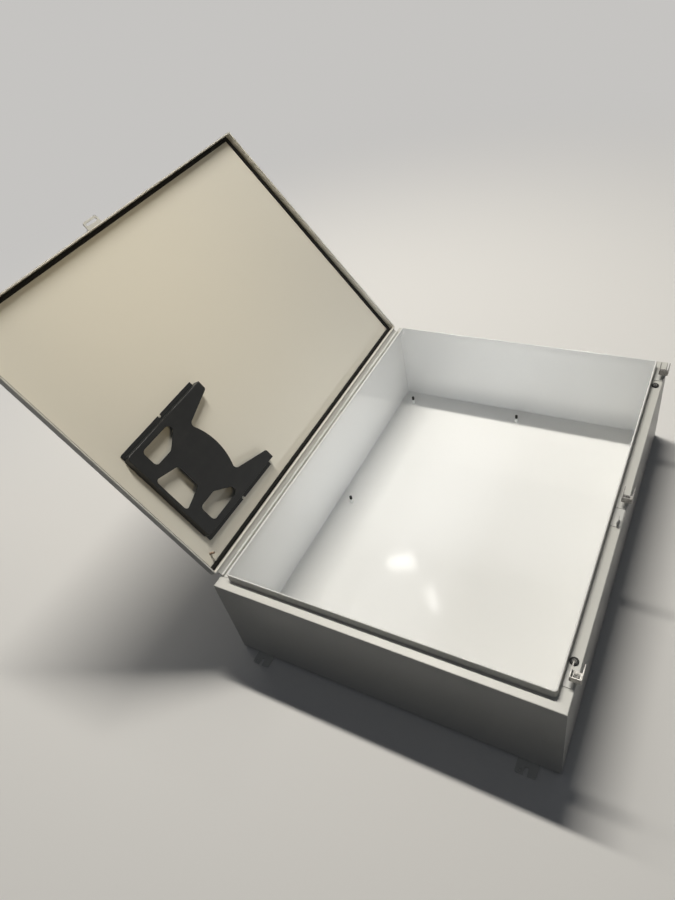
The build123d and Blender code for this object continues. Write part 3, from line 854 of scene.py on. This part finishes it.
@dataclass
class Door:
    """Folded door pan with its gasket, in the open door's own frame. Sizes in millimetres."""

    pivot: Point = (-450.0, 0.0, 311.65)
    opening: float = 126.2
    width: float = 865.8
    length: float = 1170.6
    skirt: float = 17.1
    rim: float = 0.15
    depth: float = 27.9
    bend: float = 3.5
    corner: float = 4.0
    sheet: float = 1.9
    hem: float = 9.0
    gasket_width: float = 12.5
    gasket_height: float = 6.0
    gasket_gap: float = 0.3
    gasket_fullness: float = 0.55
    gasket_steps: int = 10
    bend_steps: int = 6
    corner_steps: int = 4
    pan_edge: float = 0.35
    hem_edge: float = 0.6

    @property
    def place(self) -> Matrix:
        """The open door's frame: x across the door, y along it, z out of it."""
        return Matrix.Translation(self.pivot) @ Matrix.Rotation(-math.radians(self.opening), 4, "Y")

    @property
    def middle(self) -> float:
        """Distance of the door's middle from the hinge pin."""
        return self.skirt + self.width / 2

    @property
    def floor(self) -> float:
        """Height of the sheet's inner face."""
        return self.rim + self.depth - self.sheet

    def _over(self, level: float) -> Matrix:
        """Frame at the door's middle, at a level, turned over to face the skirts' edge."""
        turn = Matrix.Translation((self.middle, 0, level)) @ Matrix.Rotation(math.pi, 4, "Y")
        return self.place @ turn

    def build(self) -> None:
        """Make the pan, its hem and its gasket."""
        self._build_pan()
        self._build_hem()
        self._build_gasket()

    def _build_hem(self) -> None:
        """Fold the skirt's edge back on itself, all round."""
        # The folded edge takes a paint paler than the inside white: a painted highlight along the door's
        # rim.
        piece = Piece("door_edge_hem", "door", "door_paint", (Finish.HEM,))
        inner = 2 * self.sheet
        face = rounded_face(piece.bm, self.width - inner, self.length - inner, 0, 1)
        bmesh.ops.inset_region(piece.bm, faces=[face], use_boundary=True, use_even_offset=True,
                               thickness=self.sheet, depth=0)
        bmesh.ops.delete(piece.bm, geom=[face], context="FACES_ONLY")
        piece.finish(self._over(self.rim), sheet=self.hem, edge=self.hem_edge)

    def _build_pan(self) -> None:
        """Fold the pan as one sheet."""
        # The pan's inner face takes the darker, warmer copy of the inside paint, a painted warm shade.
        piece = Piece("door_panel_folded", "door", "door_paint", (Finish.OUTSIDE, Finish.DOOR_INSIDE))
        bm = piece.bm
        face = rounded_face(bm, self.width, self.length, self.corner, self.corner_steps,
                            Vector((self.middle, 0, self.rim)))
        swell(bm, face, [(0.0, self.depth - self.bend),
                         *arc_steps(self.bend, 90 / self.bend_steps, self.bend_steps)])
        crown = max(boundary_edges(bm), key=lambda e: e.verts[0].co.z).verts[0].co.z
        edges = [e for e in boundary_edges(bm) if abs(e.verts[0].co.z - crown) < LEVEL_TOLERANCE]
        bmesh.ops.contextual_create(bm, geom=edges)
        piece.finish(self.place, sheet=self.sheet, edge=self.pan_edge, replaces=["door_panel"])

    def _build_gasket(self) -> None:
        """Lay the foam strip round the door's inner face."""
        piece = Piece("door_gasket_strip", "door", "gasket_foam", (Finish.GASKET,))
        bm = piece.bm
        inner = 2 * (self.sheet + self.gasket_gap)
        face = rounded_face(bm, self.width - inner, self.length - inner, 0, 1)
        steps = []
        half = self.gasket_width / 2
        angles = [math.pi * number / self.gasket_steps for number in range(self.gasket_steps + 1)]
        for start, end in zip(angles, angles[1:]):
            low, high = (max(0.0, math.sin(a)) ** self.gasket_fullness for a in (start, end))
            steps.append((half * (math.cos(start) - math.cos(end)), self.gasket_height * (high - low)))
        swell(bm, face, steps)
        bmesh.ops.bridge_loops(bm, edges=boundary_edges(bm))
        piece.finish(self._over(self.floor), replaces=["door_gasket"], recalculate=True)


@dataclass
class PanelStuds:
    """Eight collar studs with threaded tips. Sizes in millimetres."""

    spacing_x: float = 812.8
    spacing_y: float = 1092.2
    floor: float = 4.6
    collar: float = 12.7
    collar_height: float = 17.0
    height: float = 30.0
    shank: float = 9.5
    pitch: float = 1.5875
    chamfer: float = 0.8
    tip: float = 0.6
    thread_gap: float = 0.2
    facets: int = 32

    def build(self) -> None:
        """Turn each stud and cut its thread."""
        piece = Piece("panel_studs_threaded", "enclosure", "stud_steel", (Finish.PANEL_STUD,))
        core = self.shank / 2 - THREAD_CORE * self.pitch
        collar = self.collar / 2
        for x in (-self.spacing_x / 2, 0, self.spacing_x / 2):
            for y in (-self.spacing_y / 2, 0, self.spacing_y / 2):
                if (x, y) == (0, 0):
                    continue
                base = Vector((x, y, self.floor))
                profile = [(0, 0), (collar, 0), (collar, self.collar_height - self.chamfer),
                           (collar - self.chamfer, self.collar_height), (core, self.collar_height),
                           (core, self.height - self.tip), (core - self.chamfer, self.height),
                           (0, self.height)]
                turned(piece.bm, profile, self.facets, base)
                thread(piece.bm, self.shank / 2, self.pitch, self.collar_height + self.thread_gap,
                       self.height, base)
        piece.finish(replaces=["panel_studs"], recalculate=True)


@dataclass
class GroundStuds:
    """The bonding studs on the body's end wall and on the door. Sizes in millimetres."""

    door: Door
    radius: float = 3.175
    length: float = 22.0
    pitch: float = 1.27
    body_place: Point = (-397.2, -607.7, 237.5)
    from_skirt: float = 38.0
    from_near_end: float = 44.0
    flash: float = 1.4
    neck: float = 2.0
    thread_start: float = 1.8
    tip: float = 0.5
    tip_chamfer: float = 0.6
    facets: int = 24

    def build(self) -> None:
        """Turn both studs."""
        self._stud("body_ground_stud_threaded", "enclosure", Matrix.Translation(self.body_place),
                   Vector((0, 1, 0)), "body_ground_stud")
        x = self.door.skirt + self.from_skirt
        y = self.from_near_end - self.door.length / 2
        place = self.door.place @ Matrix.Translation((x, y, self.door.floor))
        self._stud("door_ground_stud_threaded", "door", place, Vector((0, 0, -1)), "door_ground_stud")

    def _stud(self, name: str, body: str, place: Matrix, axis: Vector, node: str) -> None:
        """Turn one stud with a weld flash at its foot.

        Args:
            name: The piece's name.
            body: The body that it rides on.
            place: Frame of its foot.
            axis: Direction that it stands in, in that frame.
            node: The CAD node that it stands for.
        """
        piece = Piece(name, body, "ground_stud_steel", (Finish.GROUND_STUD,))
        core = self.radius - THREAD_CORE * self.pitch
        profile = [(0, 0), (self.radius, 0), (self.radius, self.flash), (core, self.neck),
                   (core, self.length - self.tip), (core - self.tip_chamfer, self.length), (0, self.length)]
        turned(piece.bm, profile, self.facets, ORIGIN, axis)
        thread(piece.bm, self.radius, self.pitch, self.thread_start, self.length, ORIGIN, axis)
        piece.finish(place, replaces=[node], recalculate=True)


class Hardware:
    """Fittings that keep their CAD shape and get softened edges."""

    def build(self) -> None:
        """Copy and soften each fitting."""
        for foot in ("near_hinge_side", "near_latch_side", "far_hinge_side", "far_latch_side"):
            self._soften(f"foot_{foot}", "enclosure", "foot_paint", Finish.FOOT, 0.5)
        self._soften("hinge_body_leaf", "enclosure", "hinge_paint", Finish.HINGE, 0.25)
        self._soften("hinge_door_leaf", "door", "hinge_paint", Finish.HINGE, 0.25)
        self._soften("hinge_pin", "enclosure", "pin_steel", Finish.PIN, 0.5)
        self._soften("padlock_hasp", "door", "fitting_paint", Finish.FITTING, 0.5)
        self._soften("padlock_staple", "enclosure", "fitting_paint", Finish.FITTING, 0.4)
        self._soften("door_bumpers", "enclosure", "bumper_rubber", Finish.RUBBER, 0.5)
        self._soften("pocket_tape", "door", "tape_foam", Finish.TAPE, 0.2)
        for place in ("near", "middle", "far"):
            self._soften(f"clamp_base_{place}", "enclosure", "fitting_paint", Finish.FITTING, 0.3)
            self._soften(f"clamp_arm_{place}", f"{place}_clamp", "clamp_steel", Finish.ZINC, 0.45)
            self._soften(f"clamp_washer_{place}", f"{place}_clamp", "screw_steel", Finish.SCREW_ZINC, 0.2)

    def _soften(self, node: str, body: str, slot: str, finish: Finish, edge: float) -> None:
        """Copy one CAD node and soften its edges.

        Args:
            node: The CAD node.
            body: The body that it rides on.
            slot: The record's material slot.
            finish: Its finish.
            edge: Width of the softened edges, in millimetres.
        """
        piece = Piece(f"{node}_finished", body, slot, (finish,)).copy_of(node)
        piece.finish(edge=edge, replaces=[node])


@dataclass
class ClampScrews:
    """Slotted hexagon screws with threaded shanks. Sizes in millimetres."""

    x: float = 454.2
    places: tuple[tuple[str, float], ...] = (("near", -530.5), ("middle", -7.0), ("far", 530.5))
    flange: float = 307.5
    head_level: float = 22.7
    head: float = 11.1
    head_height: float = 4.6
    slot_width: float = 1.6
    slot_depth: float = 1.5
    radius: float = 3.175
    length: float = 19.0
    pitch: float = 1.27
    tip: float = 0.6
    thread_end: float = -0.3
    head_taper: float = 0.95
    facets: int = 24

    def build(self) -> None:
        """Make one screw for each clamp."""
        for place, y in self.places:
            name = f"clamp_screw_{place}"
            piece = Piece(f"{name}_slotted", f"{place}_clamp_screw", "screw_steel",
                          (Finish.SCREW_ZINC,))
            seat = Vector((self.x, y, self.flange + self.head_level))
            self._head(piece.bm)
            bmesh.ops.translate(piece.bm, vec=seat, verts=piece.bm.verts)
            core = self.radius - THREAD_CORE * self.pitch
            profile = [(0, -self.length), (core - self.tip, -self.length),
                       (core, -self.length + self.tip), (core, 0.0)]
            turned(piece.bm, profile, self.facets, seat)
            thread(piece.bm, self.radius, self.pitch, -self.length, self.thread_end, seat)
            piece.finish(replaces=[name], recalculate=True)

    def _head(self, bm: BMesh) -> None:
        """Make the slotted hexagon head, its seat at zero height."""
        across = self.head / 2 / math.cos(math.radians(30))
        solid = self.head_height - self.slot_depth
        made = bmesh.ops.create_cone(bm, cap_ends=True, segments=6, radius1=across, radius2=across,
                                     depth=solid)
        bmesh.ops.translate(bm, vec=(0, 0, solid / 2), verts=made["verts"])
        for side in (-1, 1):
            made = bmesh.ops.create_cone(bm, cap_ends=True, segments=6, radius1=across,
                                         radius2=across * self.head_taper, depth=self.slot_depth)
            verts = made["verts"]
            bmesh.ops.translate(bm, vec=(0, 0, solid + self.slot_depth / 2), verts=verts)
            faces = {f for v in verts for f in v.link_faces}
            edges = {e for v in verts for e in v.link_edges}
            cut = bmesh.ops.bisect_plane(bm, geom=[*verts, *edges, *faces],
                                         plane_co=(0, side * self.slot_width / 2, 0),
                                         plane_no=(0, -side, 0), clear_outer=True)
            rim = [g for g in cut["geom_cut"] if isinstance(g, BMEdge)]
            bmesh.ops.contextual_create(bm, geom=rim)


@dataclass
class DataPocket:
    """The moulded data pocket keeps its CAD shape and gets the plastic's grain."""

    node: str = "data_pocket"

    def build(self) -> None:
        """Give the pocket's CAD node its plastic."""
        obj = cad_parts[self.node]
        for slot in obj.material_slots:
            slot.material = Finish.POCKET.material()
        log.info("%s: dressed as it is", self.node)


# Studio


@dataclass(frozen=True)
class Lamp:
    """One flat lamp, aimed at the floor below it or at a point. Sizes in metres."""

    name: str
    place: Point
    size: Pair
    power: float
    colour: Colour = (1.0, 0.98, 0.94)
    turn: float = 0.0
    aim: Point | None = None
    spread: float = 180.0

    def hang(self) -> Object:
        """Add the lamp to the studio.

        Returns:
            The lamp's object.
        """
        light = bpy.data.lights.new(self.name, "AREA")
        light.shape = "RECTANGLE"
        light.size, light.size_y = self.size
        light.energy = self.power
        light.color = self.colour
        light.spread = math.radians(self.spread)
        holder = add_object(self.name, light)
        holder.location = self.place
        holder.rotation_euler = (0, 0, math.radians(self.turn))
        if self.aim:
            away = Vector(self.place) - Vector(self.aim)
            upright = "X" if self.size[0] < self.size[1] else "Y"
            holder.rotation_euler = away.to_track_quat("Z", upright).to_euler()
        holder.visible_camera = False
        return holder


@dataclass
class Studio:
    """Floor, lamps and camera."""

    camera_place: Point = (0.55618, -1.26933, 1.70419)
    camera_turn: Point = (46.8424, 10.4499, 27.6752)
    focal_length: float = 17.976
    film_height: float = 24.0
    floor_size: float = 60.0
    floor_colour: Colour = (0.80, 0.79, 0.775)
    bounce_colour: Colour = (0.085, 0.083, 0.08)
    far_colour: Colour = (0.56, 0.55, 0.535)
    far_start: float = 1.3
    far_end: float = 4.0
    lamp_height: float = 5.6
    key_colour: Colour = (1.0, 0.965, 0.89)
    soft_colour: Colour = (0.95, 0.975, 1.0)
    warm_colour: Colour = (1.0, 0.82, 0.5)
    sky: Colour = (0.066, 0.07, 0.077)
    backdrop_fade: Pair = (0.3, 0.62)

    def build(self) -> None:
        """Set everything up round the object."""
        self._floor()
        self._lamps()
        self._sky()
        self._camera()

    def _floor(self) -> None:
        """Lay the pale floor, even into the distance; light that it throws back is kept low."""
        bm = bmesh.new()
        bmesh.ops.create_grid(bm, x_segments=1, y_segments=1, size=self.floor_size / 2)
        mesh = bpy.data.meshes.new("studio_floor")
        bm.to_mesh(mesh)
        bm.free()
        floor = add_object("studio_floor", mesh)
        table = NodeTable.named("floor_cloth")
        x, y, _ = table.axes()
        distance = (x * x + y * y) ** 0.5
        near = table.shader("ShaderNodeBsdfDiffuse", self.floor_colour)
        far = table.shader("ShaderNodeEmission", self.far_colour)
        thrown = table.shader("ShaderNodeBsdfDiffuse", self.bounce_colour)
        shown = table.mix(distance.ramp(self.far_start, self.far_end), near, far)
        mixed = table.mix(table.seen(), thrown, shown)
        table.node("ShaderNodeOutputMaterial", None, {"Surface": mixed})
        mesh.materials.append(table.owner)

    def _lamps(self) -> None:
        """Hang the two long lamps, small ones that only show as gleams, and soft ones that don't."""
        top = self.lamp_height
        Lamp("key_lamp", (-1.1, 1.29, top), (2.4, 0.24), 250.0, self.key_colour).hang()
        Lamp("end_lamp", (-3.3, 1.29, top), (2.0, 0.24), 50.0, self.key_colour).hang()
        gleams = (Lamp("left_gleam_lamp", (-2.46, 3.432, top), (0.34, 0.22), 1.9, turn=35.0),
                  Lamp("small_gleam_lamp", (-2.298, 3.41, top), (0.14, 0.10), 0.32),
                  Lamp("long_gleam_lamp", (-1.848, 3.031, top), (0.36, 0.09), 0.8, turn=-55.0))
        for lamp in gleams:
            lamp.hang().visible_diffuse = False
        soft = (Lamp("end_wall_lamp", (0.05, -0.5, 0.24), (0.7, 0.05), 0.62, self.soft_colour,
                     aim=(-0.02, 0.6, 0.28), spread=72.0),
                Lamp("hinge_wall_lamp", (0.36, 0.0, 0.24), (0.05, 0.95), 0.42, self.soft_colour,
                     aim=(-0.45, 0.0, 0.12), spread=64.0),
                Lamp("door_lamp", (1.4, -0.9, 1.6), (0.6, 0.6), 0.84, self.warm_colour,
                     aim=(-0.96, -0.05, 1.0), spread=42.0))
        for lamp in soft:
            lamp.hang().visible_glossy = False

    def _sky(self) -> None:
        """Set the even light from all round, with a pale backdrop that is only seen, up to a dim sky."""
        world = bpy.data.worlds.new("studio")
        table = NodeTable(world)
        even = table.shader("ShaderNodeBackground", self.sky)
        pale = table.shader("ShaderNodeBackground", self.far_colour)
        backdrop = table.mix(table.axes()[2].ramp(*self.backdrop_fade), pale, even)
        mixed = table.mix(table.seen(), even, backdrop)
        table.node("ShaderNodeOutputWorld", None, {"Surface": mixed})
        bpy.context.scene.world = world

    def _camera(self) -> None:
        """Stand the camera where the photograph was taken."""
        data = bpy.data.cameras.new("camera")
        data.sensor_fit = "VERTICAL"
        data.sensor_height = self.film_height
        data.lens = self.focal_length
        camera = add_object("camera", data)
        camera.location = self.camera_place
        camera.rotation_euler = [math.radians(a) for a in self.camera_turn]
        bpy.context.scene.camera = camera


def main() -> None:
    """Build every piece and the studio."""
    logging.basicConfig(level=logging.INFO, format="%(name)s %(message)s")
    bpy.context.scene.view_settings.view_transform = "Standard"
    door = Door()
    for part in (Studio(), Body(), door, PanelStuds(), GroundStuds(door), Hardware(), ClampScrews(),
                 DataPocket()):
        part.build()
        log.info("%s done", type(part).__name__)


if __name__ == "__main__":
    main()
